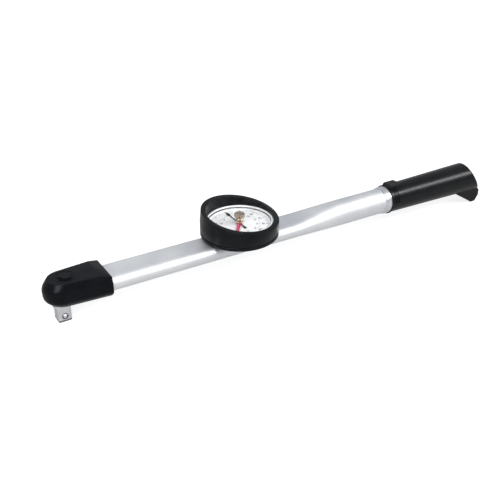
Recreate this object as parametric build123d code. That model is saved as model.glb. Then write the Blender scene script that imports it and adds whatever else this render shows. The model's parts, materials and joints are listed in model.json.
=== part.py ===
from build123d import *
import os
from math import acos, atan, atan2, cos, hypot, pi, radians, sin, sqrt, tan

# Dial torque wrench, 12.7 mm square drive. +X runs from the drive to the grip, the dial
# faces +Z and the drive points down. The origin is on the drive axis, at the shoulder
# where the square leaves the head.

# Drive square
drive_size = 12.7
drive_length = 15.2
drive_corner = 1.0
drive_lead = 1.6
ball_radius = 2.4
ball_stand_out = 0.9
ball_drop = 9.0
ball_clearance = 0.05
ball_bore_depth = 8.6
detent_wire = 0.32
detent_coils = 4

# Tube: a round tube, pressed flat from the head to behind the dial
tube_axis = 14.6
tube_diameter = 28.0
tube_wall = 1.8
flat_height = 15.4
tube_front = 16.0
flat_end = 240.0
round_start = 322.0
swell_steps = 6
flat_width = (pi * tube_diameter - pi * flat_height) / 2
round_height = tube_diameter - 0.1
flat_top = tube_axis + flat_height / 2
flat_bottom = tube_axis - flat_height / 2
inner_top = flat_top - tube_wall
inner_bottom = flat_bottom + tube_wall

# Head, pivoted on a pin through the flat end of the tube
pivot_x = 24.0
pin_radius = 4.0
pin_clearance = 0.04
bush_wall = 1.5
head_radius = 12.4
head_top = 22.4
head_gap = 0.25
collar_radius = 8.6
collar_top = 9.6
neck_half = 9.6
tail_half = 10.0
tail_length = 38.0
pin_stand_out = 1.4
clip_thickness = 0.8
clip_radius = 6.0
clip_groove = 0.5

# Measuring spring, a bar clamped in the head and held at its far end in the tube
spring_start = 44.0
spring_end = 262.0
spring_root = 9.0
spring_tip = 6.4
spring_height = 6.6
spring_lift = 1.0
spring_fit = 0.03
spring_pin_radius = 1.6
spring_pin_pitch = 9.0
block_length = 20.0
block_gap = 0.1
block_screw_pitch = 13.0

# Indicator lever and gear train
pressure_angle = 25.0
rack_module = 0.5
rack_teeth = 602
rack_pinion_teeth = 14
wheel_module = 0.4
wheel_teeth = 48
centre_pinion_teeth = 12
tooth_play = 0.06
rack_tooth_count = 10
lever_thickness = 2.0
lever_top_gap = 1.2
lever_root_half = 9.0
lever_tip_half = 3.5
rack_rim = 4.0
lever_screw_side = 7.2
small_screw_radius = 1.25
small_head_radius = 2.2
small_head_height = 0.9
arbor_radius = 0.9
pivot_clearance = 0.04

rack_radius = rack_module * rack_teeth / 2
rack_pinion_radius = rack_module * rack_pinion_teeth / 2
intermediate_x = pivot_x + rack_radius + rack_pinion_radius
dial_x = intermediate_x + wheel_module * (wheel_teeth + centre_pinion_teeth) / 2

# Dial case, movement and zero ring, outwards from the radius of dial that shows
view_radius = 31.9
pocket_step = 1.5
ledge_width = 2.4
case_step = 1.1
case_wall = 2.4
case_floor = 2.0
case_height = 8.7
plate_thickness = 1.5
plate_margin = 4.1
pillar_radius = 2.0
pillar_height = 4.8
pillar_inset = 6.0
bridge_thickness = 1.0
bridge_edge = 2.8
bridge_window_length = 20.0
bridge_window_width = 8.0
bridge_window_side = 14.0
window_radius = 4.6
case_screw_inset = 3.0
case_screw_side = 5.0
wheel_thickness = 1.0
wheel_gap = 1.2
wheel_rim = 1.8
hairspring_inner = 1.9
hairspring_outer = 8.0
hairspring_turns = 4.5
hairspring_strip = 0.18
hairspring_height = 0.5
collet_radius = 1.8
stud_radius = 0.8

ring_clearance = 0.05
ring_wall = 2.0
ring_bottom = 2.6
ledge_thickness = 1.6
ledge_gap = 0.4
dial_thickness = 0.6
dial_hole = 2.8
glass_gap = 2.0
glass_thickness = 1.5
glass_clearance = 0.1
glass_ring_height = 1.1

hood_rubber = 3.35
hood_lip = 1.0
hood_lift = 0.3
hood_lip_height = 0.1
hood_lean = 2.6
hood_tilt = 9.5
hood_tilt_towards = 133.0
hood_round = 1.8
hood_groove = 0.7
hood_groove_height = 4.2

pocket_radius = view_radius + pocket_step
ledge_radius = pocket_radius - ledge_width
case_radius = pocket_radius + case_step
plate_radius = case_radius - case_wall - plate_margin
pillar_circle = plate_radius - pillar_inset
bridge_radius = pillar_circle + bridge_edge
case_screw_along = plate_radius - case_screw_inset

# Hands and knob
pointer_margin = 3.0
pointer_tail = 12.5
pointer_thickness = 0.3
pointer_lift = 0.5
pointer_hub = 2.2
memory_shorter = 4.5
memory_thickness = 0.3
memory_gap = 0.45
knob_radius = 5.4
knob_height = 8.0
knob_gap = 0.5
knob_flutes = 20
knob_flute_radius = 0.45
knob_shaft_radius = 1.5
knob_bush_radius = 3.0
knob_bush_flange = 4.0
memory_turn = -126.0
pointer_length = view_radius - pointer_margin
memory_length = pointer_length - memory_shorter

# Head cover, a moulded boot over the head and the end of the tube
cover_nose = 16.6
cover_half = 20.4
cover_back = 44.2
cover_bottom = 3.6
cover_top = 28.5
cover_shoulder_low = 9.6
cover_shoulder_high = 20.5
cover_under = 6.2
cover_undercut = 0.4
cover_lean = 0.6
cover_over = 3.6
cover_wall = 2.6
cover_back_wall = 3.2
cover_roof = 2.4
cover_opening = 9.4
cover_fall = 2.6
cover_fall_length = 10.0
cover_round = 0.8
cover_foot_round = 1.0
cover_fit = 0.02
boss_x = 6.0
boss_ring_radius = 11.0
boss_ring_height = 0.6
cap_radius = 6.6
cap_height = 1.8
cap_stem = 4.4
cover_screw_x = 35.0
cover_screw_side = 6.0

# Grip and the collar in front of it
grip_start = 377.0
grip_length = 117.0
grip_wall = 1.4
grip_swell = 2.0
grip_flange_rise = 0.8
grip_flange_length = 2.0
grip_clearance = 0.05
grip_solid_end = 16.0
hook_reach = 20.5
hook_side_inset = 5.9
hook_overlap = 12.0
hook_beak = 12.0
hook_tip_height = 7.2
hook_back_height = 13.8
hook_flare = 7.5
grip_edge_round = 1.0
lug_set_back = 2.0
lug_length = 17.0
lug_rise = 2.2
lug_width = 13.0
rib_count = 3
rib_pitch = 2.4
rib_depth = 0.5
grip_screw_back = 42.0
grip_screw_recess = 0.3
collar_length = 8.0
collar_step = 3.0
collar_rise_front = 0.5
collar_rise_back = 1.2

grip_front_radius = tube_diameter / 2 + grip_wall
grip_back_radius = grip_front_radius + grip_swell
hook_width = 2 * (grip_back_radius - hook_side_inset)
grip_shoulder = grip_start + grip_length
grip_tip = grip_shoulder + hook_reach
grip_tip_height = hook_tip_height - drive_length
hook_root = grip_shoulder - hook_overlap
grip_screw_x = grip_shoulder - grip_screw_back
tube_end = grip_shoulder - grip_solid_end
lug_start = grip_start + lug_set_back
collar_radius_front = tube_diameter / 2 + collar_rise_front
collar_radius_back = tube_diameter / 2 + collar_rise_back

# Small screws
screw_radius = 1.5
screw_head_radius = 2.9
screw_head_height = 1.7

# Heights in the tube, then of the dial from the tube upwards
tail_bottom = inner_bottom + head_gap
tail_top = inner_top - head_gap
lever_top = inner_top - lever_top_gap
lever_bottom = lever_top - lever_thickness
tail_end = pivot_x + tail_length
spring_bottom = tail_bottom + spring_lift

floor_top = flat_top + case_floor
plate_top = floor_top + plate_thickness
bridge_bottom = plate_top + pillar_height
bridge_top = bridge_bottom + bridge_thickness
case_top = flat_top + case_height
ledge_bottom = case_top + ledge_gap
ledge_top = ledge_bottom + ledge_thickness
dial_top = ledge_top + dial_thickness
glass_bottom = dial_top + glass_gap
glass_top = glass_bottom + glass_thickness
ring_top = glass_top + glass_ring_height
ring_outer = case_radius + ring_clearance + ring_wall
hood_radius = ring_outer + hood_rubber
hood_inner = pocket_radius + hood_lip
wheel_bottom = plate_top + wheel_gap
wheel_top = wheel_bottom + wheel_thickness
hood_bottom = flat_top + hood_lift
hood_height = ring_top - hood_bottom + hood_lip_height + hood_radius * tan(radians(hood_tilt))

pointer_bottom = dial_top + pointer_lift
pointer_top = pointer_bottom + 2 * pointer_thickness
memory_bottom = pointer_top + memory_gap
hairspring_bottom = wheel_top + 1.0


def save(name, shape):
    export_step(shape, os.path.join("parts", name + ".step"))


def disc(radius, bottom, top, x=0.0, y=0.0):
    return Pos(x, y, bottom) * Cylinder(radius, top - bottom, align=(Align.CENTER, Align.CENTER, Align.MIN))


def ring(outer, inner, bottom, top, x=0.0, y=0.0):
    return disc(outer, bottom, top, x, y) - disc(inner, bottom, top, x, y)


def block(x_low, x_high, half_width, bottom, top):
    size = (x_high - x_low, 2 * half_width, top - bottom)
    return Pos(x_low, 0, bottom) * Box(*size, align=(Align.MIN, Align.CENTER, Align.MIN))


def countersunk(radius, head_radius, length, height):
    # A countersunk screw with its flat face at z = 0 and its shank up along +Z
    points = [(0, 0), (head_radius, 0), (radius, height), (radius, length), (0, length)]
    return revolve(make_face(Plane.XZ * Polyline(*points, close=True)), Axis.Z)


def cheese_head(radius, head_radius, length, height):
    # A flat-headed screw whose head stands on z = 0 and whose shank goes down
    head = disc(head_radius, 0, height)
    slot = Pos(0, 0, height) * Box(2.2 * head_radius, head_radius / 4, height)
    return head - slot + disc(radius, -length, 0)


def involute_angle(base, radius):
    roll = sqrt(max((radius / base) ** 2 - 1, 0))
    return roll - atan(roll)


def gear_points(teeth, module, first, count, turn=0.0):
    # The corners of some teeth of a gear, each tooth four points up and four down its involute
    pitch = teeth * module / 2
    base = pitch * cos(radians(pressure_angle))
    tip = pitch + 0.9 * module
    root = pitch - 1.2 * module
    start = max(base, root)
    half_at_pitch = pi / (2 * teeth) - tooth_play / (2 * pitch)
    radii = [start + (tip - start) * step / 3 for step in range(4)]
    if root < base:
        radii.insert(0, root)
    halves = []
    for radius in radii:
        halves.append(half_at_pitch + involute_angle(base, pitch) - involute_angle(base, max(radius, start)))
    points = []
    for tooth in range(first, first + count):
        centre = radians(turn) + 2 * pi * tooth / teeth
        rising = [(radius, centre - half) for radius, half in zip(radii, halves)]
        falling = [(radius, centre + half) for radius, half in zip(reversed(radii), reversed(halves))]
        points += [(radius * cos(angle), radius * sin(angle)) for radius, angle in rising + falling]
    return points


def gear(teeth, module, bottom, top, turn=0.0):
    outline = make_face(Polyline(*gear_points(teeth, module, 0, teeth, turn), close=True))
    return Pos(0, 0, bottom) * extrude(outline, top - bottom)


def tube_section(height, shrink, x):
    # A round tube pressed to a height keeps its girth: two flats joined by half circles
    half = pi * (tube_diameter - height) / 4
    radius = height / 2 - shrink
    curve = [
        Line((-half, radius), (half, radius)),
        ThreePointArc((half, radius), (half + radius, 0), (half, -radius)),
        Line((half, -radius), (-half, -radius)),
        ThreePointArc((-half, -radius), (-half - radius, 0), (-half, radius)),
    ]
    across = Plane(origin=(x, 0, tube_axis), x_dir=(0, 1, 0), z_dir=(1, 0, 0))
    return across * make_face(Curve() + curve)


def tube_solid(shrink, start, end):
    # The tube's outside, or its inside when shrink is the wall
    flat = extrude(tube_section(flat_height, shrink, start), flat_end - start, dir=(1, 0, 0))
    sections = []
    for step in range(swell_steps + 1):
        share = step / swell_steps
        rise = (1 - cos(pi * share)) / 2
        height = flat_height + (round_height - flat_height) * rise
        sections.append(tube_section(height, shrink, flat_end + (round_start - flat_end) * share))
    swell = loft(sections)
    tail = extrude(tube_section(round_height, shrink, round_start), end - round_start, dir=(1, 0, 0))
    return flat + swell + tail


def flat_section(grow, start, end):
    return extrude(tube_section(flat_height, -grow, start), end - start, dir=(1, 0, 0))


def cover_outline(inset, z, back, nose_inset=None):
    # Round nose about the drive axis with straight sides tangent to it
    nose = cover_nose - (inset if nose_inset is None else nose_inset)
    half = cover_half - inset
    reach = hypot(back, half)
    turn = atan2(half, back) + acos(nose / reach)
    x = nose * cos(turn)
    y = nose * sin(turn)
    sides = [
        Line((back, -half), (x, -y)),
        ThreePointArc((x, -y), (-nose, 0), (x, y)),
        Line((x, y), (back, half)),
        Line((back, half), (back, -half)),
    ]
    return Pos(0, 0, z) * make_face(Curve() + sides)


def cover_body(inset, bottom, top, back, under, over, undercut):
    low = cover_outline(inset + under, bottom, back, inset + under + undercut)
    waist = cover_outline(inset, cover_shoulder_low, back, inset + cover_lean)
    shoulder = cover_outline(inset, cover_shoulder_high, back)
    high = cover_outline(inset + over, top, back, inset + over * 1.5)
    return loft([low, waist, shoulder, high], ruled=True)


def head_cover():
    outside = cover_body(0, cover_bottom, cover_top, cover_back, cover_under, cover_over, cover_undercut)
    # The roof falls towards the back edge
    fall = Plane.XZ * Polyline(
        (cover_back - cover_fall_length, cover_top),
        (cover_back + 1, cover_top - cover_fall * 1.1),
        (cover_back + 1, cover_top + 1),
        (cover_back - cover_fall_length, cover_top + 1),
        close=True,
    )
    outside -= extrude(make_face(fall), 2 * cover_half, both=True)
    edges = outside.edges().filter_by(lambda edge: edge.center().Z > cover_shoulder_high - 1)
    outside = fillet(edges, cover_round)
    foot = outside.edges().filter_by(lambda edge: edge.center().Z < cover_bottom + 0.1)
    outside = fillet(foot, cover_foot_round)
    inside = cover_body(
        cover_wall,
        flat_bottom,
        cover_top - cover_roof,
        cover_back - cover_back_wall,
        cover_under - 1.6,
        cover_over - 0.4,
        0,
    )
    hollow = inside + flat_section(cover_fit, tube_front - 0.5, cover_back + 1)
    body = outside - hollow - disc(cover_opening, cover_bottom - 1, flat_bottom + 1)
    body -= disc(clip_radius + 0.4, flat_bottom - pin_stand_out - 0.3, flat_bottom + 1, pivot_x)
    body += ring(boss_ring_radius, boss_ring_radius - 1.4, cover_top - 0.5, cover_top + boss_ring_height, boss_x)
    body -= disc(cap_stem, cover_top - cover_roof - 1, cover_top + 1, boss_x)
    for side in (-cover_screw_side, cover_screw_side):
        screw = countersunk(screw_radius, screw_head_radius, 8, screw_head_height)
        body -= Pos(cover_screw_x, side, cover_bottom) * screw
    return body


def head_cap():
    # A plug in the roof of the cover, six-sided with a round foot
    foot = disc(cap_radius + 0.9, cover_top, cover_top + 0.7, boss_x)
    hexagon = extrude(RegularPolygon(cap_radius, 6), cap_height)
    hexagon = chamfer(hexagon.faces().sort_by(Axis.Z)[-1].edges(), 0.5)
    stem = disc(cap_stem, cover_top - cover_roof + 0.2, cover_top, boss_x)
    return foot + Pos(boss_x, 0, cover_top) * hexagon + stem


def cover_screws():
    length = inner_bottom - cover_bottom
    screw = countersunk(screw_radius, screw_head_radius, length, screw_head_height)
    screw -= Pos(0, 0, 0) * Box(2 * screw_head_radius, 0.7, 1.0)
    sides = (-cover_screw_side, cover_screw_side)
    return Compound(children=[Pos(cover_screw_x, side, cover_bottom) * screw for side in sides])


def tube():
    body = tube_solid(0, tube_front, tube_end) - tube_solid(tube_wall, tube_front - 1, tube_end + 1)
    body -= disc(pin_radius, flat_bottom - 1, flat_top + 1, pivot_x)
    body -= disc(window_radius, inner_top - 1, flat_top + 1, intermediate_x)
    for x, y in case_screw_places():
        body -= disc(small_screw_radius, inner_top - 1, flat_top + 1, x, y)
    for side in (-cover_screw_side, cover_screw_side):
        body -= disc(screw_radius, flat_bottom - 1, inner_bottom + 1, cover_screw_x, side)
    for x in block_screw_places():
        body -= Pos(x, 0, flat_bottom) * countersunk(screw_radius, screw_head_radius, 6, screw_head_height)
    body -= disc(screw_radius, tube_axis - tube_diameter / 2 - 1, tube_axis - 9, grip_screw_x)
    return body


def case_screw_places():
    places = []
    for x in (dial_x - case_screw_along, dial_x + case_screw_along):
        for y in (-case_screw_side, case_screw_side):
            places.append((x, y))
    return places


def block_screw_places():
    middle = spring_end - block_length / 2
    return [middle - block_screw_pitch / 2, middle + block_screw_pitch / 2]


def drive_square():
    square = extrude(RectangleRounded(drive_size, drive_size, drive_corner), -drive_length)
    foot = square.faces().sort_by(Axis.Z)[0]
    return chamfer(foot.edges(), drive_lead * 0.6)


def drive_head():
    boss = disc(head_radius, collar_top, head_top)
    boss = chamfer(boss.faces().sort_by(Axis.Z)[-1].edges(), 1.5)
    body = boss + disc(collar_radius, 0, collar_top) + drive_square()
    body += block(4, pivot_x, neck_half, tail_bottom, tail_top)
    body += disc(tail_half, tail_bottom, tail_top, pivot_x)
    body += block(pivot_x, spring_start - 4, tail_half, tail_bottom, tail_top)
    body += block(spring_start - 4, tail_end, tail_half, tail_bottom, lever_bottom)
    body -= disc(pin_radius + bush_wall, tail_bottom - 1, tail_top + 1, pivot_x)
    # Slot for the root of the measuring spring, open upwards and to the back
    slot_half = spring_root / 2 + spring_fit
    body -= block(spring_start - spring_fit, tail_end + 1, slot_half, spring_bottom - spring_fit, lever_bottom + 1)
    for x in spring_pin_places():
        body -= disc(spring_pin_radius, tail_bottom - 1, spring_bottom + 1, x)
    for x, y in lever_screw_places():
        body -= disc(small_screw_radius, tail_bottom + 1, lever_bottom + 1, x, y)
    bore = Cylinder(ball_radius + ball_clearance, ball_bore_depth, align=(Align.CENTER, Align.CENTER, Align.MIN))
    body -= Pos(0, -drive_size / 2, -ball_drop) * Rot(-90, 0, 0) * bore
    return body


def detent_ball():
    centre = -drive_size / 2 - ball_stand_out + ball_radius
    return Pos(0, centre, -ball_drop) * Sphere(ball_radius)


def detent_spring():
    start = -drive_size / 2 - ball_stand_out + 2 * ball_radius + detent_wire
    end = -drive_size / 2 + ball_bore_depth - detent_wire
    length = end - start
    radius = ball_radius - 2 * detent_wire
    steps = 12 * detent_coils
    points = []
    for step in range(steps + 1):
        turn = radians(30 * step)
        points.append((radius * cos(turn), radius * sin(turn), length * step / steps))
    path = Polyline(*points)
    profile = Plane(origin=path @ 0, z_dir=path % 0) * RegularPolygon(detent_wire, 6)
    coil = sweep(profile, path=path, transition=Transition.RIGHT)
    return Pos(0, start, -ball_drop) * Rot(-90, 0, 0) * coil


def pivot_bush():
    return ring(pin_radius + bush_wall, pin_radius + pin_clearance, tail_bottom, tail_top, pivot_x)


def head_pin():
    bottom = flat_bottom - pin_stand_out
    top = flat_top + pin_stand_out
    pin = disc(pin_radius, bottom, top, pivot_x)
    for z in clip_heights():
        pin -= ring(pin_radius + 1, pin_radius - clip_groove, z, z + clip_thickness, pivot_x)
    return pin


def clip_heights():
    return [flat_bottom - 0.1 - clip_thickness, flat_top + 0.1]


def pin_clips():
    clips = []
    for z in clip_heights():
        clip = ring(clip_radius, pin_radius - clip_groove, z, z + clip_thickness, pivot_x)
        clip -= block(pivot_x + 1, pivot_x + clip_radius + 1, 1.4, z - 1, z + 2)
        clips.append(clip)
    return Compound(children=clips)


def spring_pin_places():
    first = spring_start + 5
    return [first, first + spring_pin_pitch]


def lever_screw_places():
    return [(x, y) for x in spring_pin_places() for y in (-lever_screw_side, lever_screw_side)]


def measuring_spring():
    root = spring_root / 2
    tip = spring_tip / 2
    points = [
        (spring_start, -root),
        (tail_end + 6, -root),
        (spring_end - block_length, -tip),
        (spring_end, -tip),
        (spring_end, tip),
        (spring_end - block_length, tip),
        (tail_end + 6, root),
        (spring_start, root),
    ]
    bar = Pos(0, 0, spring_bottom) * extrude(make_face(Polyline(*points, close=True)), spring_height)
    for x in spring_pin_places():
        bar -= disc(spring_pin_radius + spring_fit, spring_bottom - 1, spring_bottom + spring_height + 1, x)
    return bar


def spring_pins():
    top = spring_bottom + spring_height
    return Compound(children=[disc(spring_pin_radius, tail_bottom, top, x) for x in spring_pin_places()])


def reaction_block():
    start = spring_end - block_length
    body = block(start, spring_end, flat_width / 2, inner_bottom + block_gap / 2, inner_top - block_gap / 2)
    slot_bottom = spring_bottom - 0.3
    slot_top = spring_bottom + spring_height + 0.3
    body -= block(start - 1, spring_end + 1, spring_tip / 2 + spring_fit, slot_bottom, slot_top)
    for x in block_screw_places():
        body -= disc(screw_radius, inner_bottom - 1, slot_bottom + 0.01, x)
    return body


def block_screws():
    length = spring_bottom - 0.3 - flat_bottom
    screw = countersunk(screw_radius, screw_head_radius, length, screw_head_height)
    screw -= Box(2 * screw_head_radius, 0.7, 1.0)
    return Compound(children=[Pos(x, 0, flat_bottom) * screw for x in block_screw_places()])


def indicator_lever():
    root_x = spring_start - 3.5
    neck_x = tail_end + 8
    pad_x = pivot_x + rack_radius - rack_rim
    first = -rack_tooth_count // 2
    turn = 180.0 / rack_teeth
    teeth = gear_points(rack_teeth, rack_module, first, rack_tooth_count, turn)
    rim = [(pivot_x + x, y) for x, y in teeth]
    edge = rim[-1][1]
    blade = [
        (root_x, lever_root_half),
        (root_x, -lever_root_half),
        (tail_end - 2, -lever_root_half),
        (neck_x, -lever_tip_half),
        (pad_x - 10, -lever_tip_half),
        (pad_x, -edge),
    ]
    mirrored = [(x, -y) for x, y in reversed(blade[2:])]
    outline = Polyline(*(blade + rim + mirrored), close=True)
    lever = Pos(0, 0, lever_bottom) * extrude(make_face(outline), lever_thickness)
    slot = SlotOverall(60, 3)
    lever -= Pos(neck_x + 42, 0, lever_bottom) * extrude(slot, lever_thickness)
    for x, y in lever_screw_places():
        lever -= disc(small_screw_radius, lever_bottom - 1, lever_top + 1, x, y)
    return lever


def lever_screws():
    length = lever_top - tail_bottom - 1.5
    screw = cheese_head(small_screw_radius, small_head_radius, length, small_head_height)
    return Compound(children=[Pos(x, y, lever_top) * screw for x, y in lever_screw_places()])


def dial_case():
    body = disc(case_radius, flat_top, case_top, dial_x)
    body -= disc(case_radius - case_wall, floor_top, case_top + 1, dial_x)
    body -= disc(window_radius, flat_top - 1, floor_top + 1, intermediate_x)
    for x, y in case_screw_places():
        body -= disc(small_screw_radius, flat_top - 1, floor_top + 1, x, y)
    return body


def pillar_places():
    places = []
    for turn in (45, 135, 225, 315):
        x = dial_x + pillar_circle * cos(radians(turn))
        places.append((x, pillar_circle * sin(radians(turn))))
    return places


def movement_plate():
    body = disc(plate_radius, floor_top, plate_top, dial_x)
    body -= disc(arbor_radius + pivot_clearance, floor_top - 1, plate_top + 1, intermediate_x)
    body -= disc(arbor_radius * 0.6 + pivot_clearance, floor_top + 0.4, plate_top + 1, dial_x)
    for x, y in case_screw_places():
        body -= disc(small_screw_radius, floor_top - 1, plate_top + 1, x, y)
    return body


def case_screws():
    screw = cheese_head(small_screw_radius, small_head_radius, plate_top - inner_top, small_head_height)
    return Compound(children=[Pos(x, y, plate_top) * screw for x, y in case_screw_places()])


def movement_pillars():
    pillars = []
    for x, y in pillar_places():
        pillar = disc(pillar_radius, plate_top, bridge_bottom, x, y)
        pillars.append(pillar - disc(small_screw_radius * 0.8, plate_top + 1, bridge_bottom + 1, x, y))
    return Compound(children=pillars)


def bridge_plate():
    body = disc(bridge_radius, bridge_bottom, bridge_top, dial_x)
    for x, hole in ((dial_x, arbor_radius), (intermediate_x, arbor_radius * 0.6)):
        body -= disc(hole + pivot_clearance, bridge_bottom - 1, bridge_top + 1, x)
    for x, y in pillar_places():
        body -= disc(small_screw_radius * 0.8, bridge_bottom - 1, bridge_top + 1, x, y)
    # Two windows lighten the bridge beside the bearings
    slot = extrude(SlotOverall(bridge_window_length, bridge_window_width), bridge_thickness + 2)
    for side in (-bridge_window_side, bridge_window_side):
        body -= Pos(dial_x, side, bridge_bottom - 1) * slot
    return body


def bridge_screws():
    length = pillar_height + bridge_thickness - 1.4
    screw = cheese_head(small_screw_radius * 0.8, small_head_radius * 0.9, length, 0.7)
    return Compound(children=[Pos(x, y, bridge_top) * screw for x, y in pillar_places()])


def intermediate_arbor():
    # Rack pinion below the plate, shaft through it and a thin pivot in the bridge
    pinion = gear(rack_pinion_teeth, rack_module, lever_bottom - 0.4, lever_top + 0.4)
    shaft = disc(arbor_radius, lever_top + 0.4, wheel_top + 0.6)
    shoulder = ring(arbor_radius * 1.8, arbor_radius, plate_top + 0.3, wheel_bottom)
    pivot = disc(arbor_radius * 0.6, wheel_top + 0.6, bridge_top + 0.3)
    return Pos(intermediate_x, 0, 0) * (pinion + shaft + shoulder + pivot)


def intermediate_wheel():
    wheel = gear(wheel_teeth, wheel_module, wheel_bottom, wheel_top)
    rim = wheel_teeth * wheel_module / 2 - wheel_rim
    spaces = ring(rim, rim * 0.34, wheel_bottom - 1, wheel_top + 1)
    for spoke in range(2):
        bar = Box(3 * rim, 1.6, 6)
        spaces -= Pos(0, 0, wheel_bottom) * Rot(0, 0, 45 + 90 * spoke) * bar
    wheel = wheel - spaces - disc(arbor_radius, wheel_bottom - 1, wheel_top + 1)
    return Pos(intermediate_x, 0, 0) * wheel


def centre_arbor():
    turn = 180.0 / centre_pinion_teeth
    pinion = gear(centre_pinion_teeth, wheel_module, wheel_bottom - 0.3, wheel_top + 0.3, turn)
    foot = disc(arbor_radius * 0.6, floor_top + 0.6, wheel_bottom - 0.3)
    shaft = disc(arbor_radius, wheel_top + 0.3, pointer_top)
    return Pos(dial_x, 0, 0) * (pinion + foot + shaft)


def hairspring_collet():
    bottom = hairspring_bottom - 0.1
    return ring(collet_radius, arbor_radius, bottom, hairspring_bottom + hairspring_height + 0.1, dial_x)


def hairspring():
    # A flat spiral strip from the collet to the stud
    steps = 18
    count = int(hairspring_turns * steps)
    growth = (hairspring_outer - hairspring_inner) / count
    outer = []
    inner = []
    for step in range(count + 1):
        radius = hairspring_inner + growth * step
        angle = 2 * pi * step / steps
        outer.append(((radius + hairspring_strip) * cos(angle), (radius + hairspring_strip) * sin(angle)))
        inner.append((radius * cos(angle), radius * sin(angle)))
    strip = make_face(Polyline(*(outer + list(reversed(inner))), close=True))
    return Pos(dial_x, 0, hairspring_bottom) * extrude(strip, hairspring_height)


def hairspring_stud():
    angle = 2 * pi * hairspring_turns
    reach = hairspring_outer + hairspring_strip + stud_radius
    x = dial_x + reach * cos(angle)
    y = reach * sin(angle)
    return disc(stud_radius, hairspring_bottom - 0.3, bridge_bottom, x, y)


def main_pointer():
    # Spear with a broad tip, on the far side of the dial, and a flared tail
    half = 0.55
    points = [
        (-1.6, -pointer_tail),
        (1.6, -pointer_tail),
        (half, -2),
        (half, pointer_length - 9),
        (2.0, pointer_length - 7),
        (0, pointer_length),
        (-2.0, pointer_length - 7),
        (-half, pointer_length - 9),
        (-half, -2),
    ]
    blade = extrude(make_face(Polyline(*points, close=True)), pointer_thickness)
    hub = disc(pointer_hub, 0, 2 * pointer_thickness)
    hand = Pos(0, 0, pointer_bottom) * (blade + hub)
    hand -= disc(arbor_radius, pointer_bottom - 1, pointer_top + 1)
    return Pos(dial_x, 0, 0) * hand


def memory_pointer():
    # Broad hand that stays where the torque was highest
    points = [(1.7, -6), (1.9, 0), (1.5, memory_length - 6), (0, memory_length)]
    outline = points + [(-x, y) for x, y in reversed(points[:-1])]
    blade = extrude(make_face(Polyline(*outline, close=True)), memory_thickness)
    hand = blade + disc(pointer_hub + 0.4, 0, memory_thickness)
    hand -= disc(knob_shaft_radius, -1, 1)
    return Pos(dial_x, 0, memory_bottom) * Rot(0, 0, memory_turn - 90) * hand


def zero_ring():
    outside = disc(ring_outer, flat_top + ring_bottom, ring_top, dial_x)
    below = disc(case_radius + ring_clearance, flat_top, ledge_bottom, dial_x)
    ledge = disc(ledge_radius, ledge_bottom - 1, ledge_top + 1, dial_x)
    pocket = disc(pocket_radius, ledge_top, ring_top + 1, dial_x)
    return outside - below - ledge - pocket


def dial_plate():
    return ring(pocket_radius - glass_clearance, dial_hole, ledge_top, dial_top, dial_x)


def crystal_seal():
    outer = pocket_radius - glass_clearance
    return ring(outer, outer - 1.6, dial_top, glass_bottom, dial_x)


def crystal():
    outer = pocket_radius - glass_clearance
    return ring(outer, knob_bush_radius, glass_bottom, glass_top, dial_x)


def crystal_ring():
    body = ring(pocket_radius, view_radius, glass_top, ring_top, dial_x)
    inner_edge = body.edges().filter_by(GeomType.CIRCLE).sort_by(Axis.Z)[-2:].sort_by(SortBy.RADIUS)[0]
    return chamfer(inner_edge, 0.6)


def knob_bush():
    body = ring(knob_bush_radius, knob_shaft_radius + pivot_clearance, glass_bottom, glass_top, dial_x)
    flange_top = glass_top + 0.35
    return body + ring(knob_bush_flange, knob_shaft_radius + pivot_clearance, glass_top, flange_top, dial_x)


def knob_shaft():
    return disc(knob_shaft_radius, memory_bottom, glass_top + knob_gap + knob_height - 2, dial_x)


def reset_knob():
    bottom = glass_top + knob_gap
    knob = disc(knob_radius, bottom, bottom + knob_height)
    knob = chamfer(knob.edges().filter_by(GeomType.CIRCLE), 0.5)
    for flute in range(knob_flutes):
        turn = 2 * pi * flute / knob_flutes
        x = knob_radius * cos(turn)
        y = knob_radius * sin(turn)
        knob -= disc(knob_flute_radius, bottom + 2, bottom + knob_height + 1, x, y)
    knob -= disc(knob_shaft_radius, bottom - 1, bottom + knob_height - 2)
    return Pos(dial_x, 0, 0) * knob


def protector():
    # Rubber ring round the zero ring, cut slantwise so that it stands up as a hood
    body = disc(hood_radius, hood_bottom, ring_top, dial_x)
    body = fillet(body.faces().sort_by(Axis.Z)[0].edges(), hood_round)
    wall_height = hood_bottom + 2 * hood_height - ring_top
    wall = Cone(hood_radius, hood_radius - hood_lean, wall_height, align=(Align.CENTER, Align.CENTER, Align.MIN))
    body += Pos(dial_x, 0, ring_top) * wall
    tilt = Rot(0, 0, hood_tilt_towards) * Rot(0, -hood_tilt, 0)
    above = Box(4 * hood_radius, 4 * hood_radius, 2 * hood_height, align=(Align.CENTER, Align.CENTER, Align.MIN))
    body -= Pos(dial_x, 0, hood_bottom + hood_height) * tilt * above
    body = fillet(body.edges().group_by(Axis.Z)[-1], hood_round * 0.6)
    body -= disc(ring_outer, hood_bottom - 1, ring_top, dial_x)
    body -= disc(hood_inner, ring_top - 1, hood_bottom + 2 * hood_height, dial_x)
    z = hood_bottom + hood_groove_height
    body -= ring(hood_radius + 1, hood_radius - hood_groove, z, z + hood_groove, dial_x)
    return body


def grip_radius(x):
    share = (x - grip_start) / (grip_shoulder - grip_start)
    return grip_front_radius + (grip_back_radius - grip_front_radius) * share


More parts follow.
